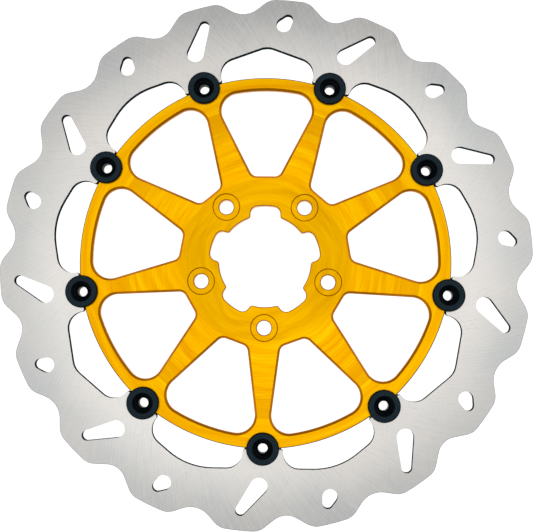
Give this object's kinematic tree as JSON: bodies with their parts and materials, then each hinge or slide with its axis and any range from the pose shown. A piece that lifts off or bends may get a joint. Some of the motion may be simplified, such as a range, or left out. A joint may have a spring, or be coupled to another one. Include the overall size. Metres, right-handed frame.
{
  "type": "brake disc rotor",
  "caption": "Floating motorcycle brake disc: a wave-edged, slotted steel ring on a gold spoked carrier, held by sprung float buttons, bolting to the wheel hub.",
  "frame": {"origin": "centre of the five-bolt circle on the hub's back mounting face", "axes": "+Z along the wheel axis, away from the wheel, to the disc's front (outer) face; +Y and +X across the disc, with one hub pocket and one spoke gap on +Y"},
  "size_m": [0.3297, 0.3298, 0.0111],
  "materials": {
    "ground_steel": "ground stainless steel",
    "gold_anodised": "gold anodised",
    "black_anodised": "black hard anodised",
    "spring_steel": "oiled spring steel",
    "washer_steel": "plain stainless"
  },
  "bodies": {
    "carrier": {"carrier": "gold_anodised"},
    "friction_ring": {"friction_ring": "ground_steel"},
    "button_set_1": {"button_1": "black_anodised", "wave_washer_1": "spring_steel", "flat_washer_1": "washer_steel", "snap_ring_1": "spring_steel"},
    "button_set_2": {"button_2": "black_anodised", "wave_washer_2": "spring_steel", "flat_washer_2": "washer_steel", "snap_ring_2": "spring_steel"},
    "button_set_3": {"button_3": "black_anodised", "wave_washer_3": "spring_steel", "flat_washer_3": "washer_steel", "snap_ring_3": "spring_steel"},
    "button_set_4": {"button_4": "black_anodised", "wave_washer_4": "spring_steel", "flat_washer_4": "washer_steel", "snap_ring_4": "spring_steel"},
    "button_set_5": {"button_5": "black_anodised", "wave_washer_5": "spring_steel", "flat_washer_5": "washer_steel", "snap_ring_5": "spring_steel"},
    "button_set_6": {"button_6": "black_anodised", "wave_washer_6": "spring_steel", "flat_washer_6": "washer_steel", "snap_ring_6": "spring_steel"},
    "button_set_7": {"button_7": "black_anodised", "wave_washer_7": "spring_steel", "flat_washer_7": "washer_steel", "snap_ring_7": "spring_steel"},
    "button_set_8": {"button_8": "black_anodised", "wave_washer_8": "spring_steel", "flat_washer_8": "washer_steel", "snap_ring_8": "spring_steel"},
    "button_set_9": {"button_9": "black_anodised", "wave_washer_9": "spring_steel", "flat_washer_9": "washer_steel", "snap_ring_9": "spring_steel"}
  },
  "joints": [
    {"name": "ring_float", "type": "slide", "parent": "carrier", "child": "friction_ring", "axis": [0, 0, 1], "range_m": [-0.0003, 0], "stiffness_N_per_m": 60000, "springref_m": 0.0003, "deforming": ["wave_washer_1", "wave_washer_2", "wave_washer_3", "wave_washer_4", "wave_washer_5", "wave_washer_6", "wave_washer_7", "wave_washer_8", "wave_washer_9"]},
    {"name": "button_spin_1", "type": "hinge", "parent": "carrier", "child": "button_set_1", "pos_m": [0.09959, 0.0575, 0], "axis": [0, 0, 1], "continuous": true},
    {"name": "button_spin_2", "type": "hinge", "parent": "carrier", "child": "button_set_2", "pos_m": [0.03933, 0.10806, 0], "axis": [0, 0, 1], "continuous": true},
    {"name": "button_spin_3", "type": "hinge", "parent": "carrier", "child": "button_set_3", "pos_m": [-0.03933, 0.10806, 0], "axis": [0, 0, 1], "continuous": true},
    {"name": "button_spin_4", "type": "hinge", "parent": "carrier", "child": "button_set_4", "pos_m": [-0.09959, 0.0575, 0], "axis": [0, 0, 1], "continuous": true},
    {"name": "button_spin_5", "type": "hinge", "parent": "carrier", "child": "button_set_5", "pos_m": [-0.11325, -0.01997, 0], "axis": [0, 0, 1], "continuous": true},
    {"name": "button_spin_6", "type": "hinge", "parent": "carrier", "child": "button_set_6", "pos_m": [-0.07392, -0.0881, 0], "axis": [0, 0, 1], "continuous": true},
    {"name": "button_spin_7", "type": "hinge", "parent": "carrier", "child": "button_set_7", "pos_m": [0, -0.115, 0], "axis": [0, 0, 1], "continuous": true},
    {"name": "button_spin_8", "type": "hinge", "parent": "carrier", "child": "button_set_8", "pos_m": [0.07392, -0.0881, 0], "axis": [0, 0, 1], "continuous": true},
    {"name": "button_spin_9", "type": "hinge", "parent": "carrier", "child": "button_set_9", "pos_m": [0.11325, -0.01997, 0], "axis": [0, 0, 1], "continuous": true}
  ]
}
